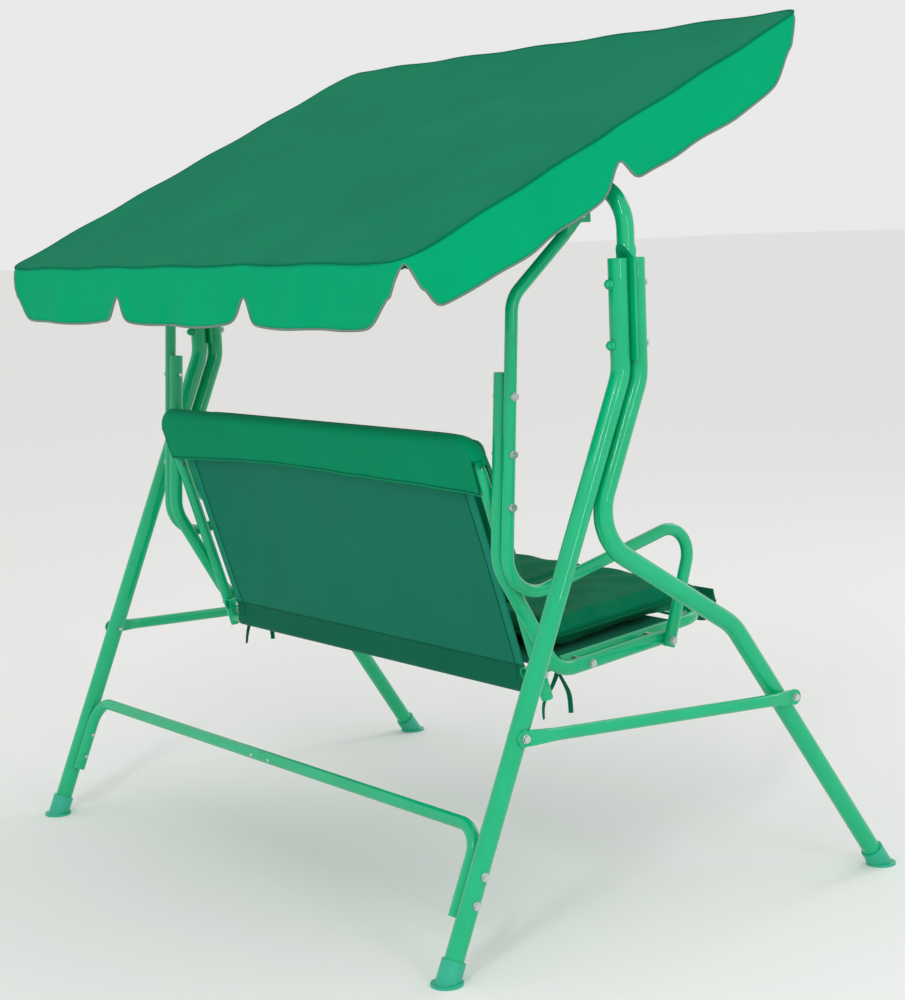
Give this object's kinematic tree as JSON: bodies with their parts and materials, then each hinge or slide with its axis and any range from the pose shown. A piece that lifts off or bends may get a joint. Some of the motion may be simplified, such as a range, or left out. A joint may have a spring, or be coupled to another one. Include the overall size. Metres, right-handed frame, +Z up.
{
  "type": "canopy swing bench",
  "caption": "Garden swing bench with a leg frame, hanging seat with cushions and armrest loops, and a tilting fabric canopy.",
  "frame": {"origin": "on the floor under the middle of the bench", "axes": "+Z up, -Y the way sitters face, +X to the sitters' left"},
  "size_m": [1.754, 1.1678, 1.775],
  "materials": {
    "green_paint": "gloss",
    "zinc_steel": "bright",
    "foot_plastic": "satin",
    "nylon": "satin",
    "knob_plastic": "matte",
    "canopy_cloth": "woven polyester",
    "sling_cloth": "coated mesh",
    "cushion_cloth": "woven polyester"
  },
  "bodies": {
    "frame": {"rear_leg_left": "green_paint", "rear_leg_right": "green_paint", "front_leg_left": "green_paint", "front_leg_right": "green_paint", "canopy_upright_left": "green_paint", "canopy_upright_right": "green_paint", "top_crossbar": "green_paint", "crossbar_joiners": "zinc_steel", "hanger_brackets": "green_paint", "pivot_pins": "zinc_steel", "side_brace_left": "green_paint", "side_brace_right": "green_paint", "rear_stretcher_left": "green_paint", "rear_stretcher_right": "green_paint", "stretcher_joiner": "zinc_steel", "foot_caps": "foot_plastic", "leg_bolts": "zinc_steel", "leg_cap_nuts": "green_paint", "brace_bolts": "zinc_steel", "stretcher_bolts": "zinc_steel", "canopy_brackets": "zinc_steel", "canopy_pivot_bolts": "zinc_steel"},
    "seat": {"hanger_left": "green_paint", "hanger_right": "green_paint", "pivot_bushes": "nylon", "seat_arm_left": "green_paint", "seat_arm_right": "green_paint", "back_frame": "green_paint", "back_cross_tube": "green_paint", "seat_frame": "green_paint", "seat_spacers": "zinc_steel", "seat_bolts": "zinc_steel", "back_sling": "sling_cloth", "seat_sling": "sling_cloth", "seat_cushion": "cushion_cloth", "seat_flap": "cushion_cloth", "back_cushion": "cushion_cloth", "back_hood": "cushion_cloth"},
    "canopy": {"canopy_arm_left": "green_paint", "canopy_arm_right": "green_paint", "canopy_front_bar": "green_paint", "canopy_rear_bar": "green_paint", "canopy_sheet": "canopy_cloth", "canopy_valance": "canopy_cloth"},
    "knob_left": {"canopy_knob_left": "knob_plastic"},
    "knob_right": {"canopy_knob_right": "knob_plastic"}
  },
  "joints": [
    {"name": "seat_swing", "type": "hinge", "parent": "frame", "child": "seat", "pos_m": [0, 0.065, 1.388], "axis": [1, 0, 0], "range_deg": [-18, 18]},
    {"name": "canopy_tilt", "type": "hinge", "parent": "frame", "child": "canopy", "pos_m": [0, 0.065, 1.5], "axis": [1, 0, 0], "range_deg": [-5, 35]},
    {"name": "knob_left_turn", "type": "hinge", "parent": "canopy", "child": "knob_left", "pos_m": [0.75, 0.065, 1.5], "axis": [1, 0, 0], "continuous": true},
    {"name": "knob_right_turn", "type": "hinge", "parent": "canopy", "child": "knob_right", "pos_m": [-0.75, 0.065, 1.5], "axis": [-1, 0, 0], "continuous": true}
  ]
}
